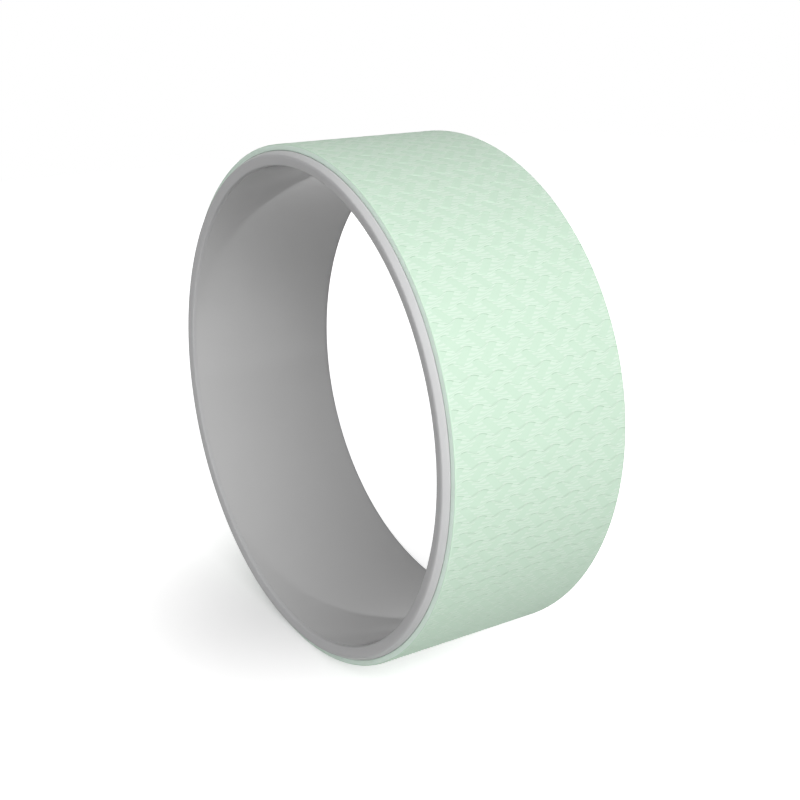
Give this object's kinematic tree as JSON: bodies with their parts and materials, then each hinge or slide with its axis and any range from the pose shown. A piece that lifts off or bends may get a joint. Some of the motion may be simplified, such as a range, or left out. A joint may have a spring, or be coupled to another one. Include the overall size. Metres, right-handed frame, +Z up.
{
  "type": "yoga wheel",
  "caption": "Hollow round exercise hoop for back stretches and balance: double-walled grey plastic core with rounded rims, wrapped in an embossed mint foam mat, open through the middle.",
  "frame": {"origin": "centre of the wheel, on its axis and midway between the rims", "axes": "+Y along the wheel's axis towards the rear rim, +Z up, away from the patch of tread that it stands on, +X along the way it rolls"},
  "size_m": [0.33, 0.121, 0.3295],
  "materials": {
    "foam_mat": "closed-cell thermoplastic elastomer foam, mint green, embossed and matte",
    "adhesive": "translucent pressure-sensitive film",
    "grey_plastic": "moulded ABS, mid grey, smooth semi-gloss",
    "rim_plastic": "moulded ABS, mid grey, smooth semi-gloss, rounded lip"
  },
  "bodies": {
    "root": {"tread_mat": "foam_mat", "adhesive_film": "adhesive", "outer_hoop": "grey_plastic", "inner_hoop": "grey_plastic", "front_rim": "rim_plastic", "rear_rim": "rim_plastic"}
  },
  "joints": []
}
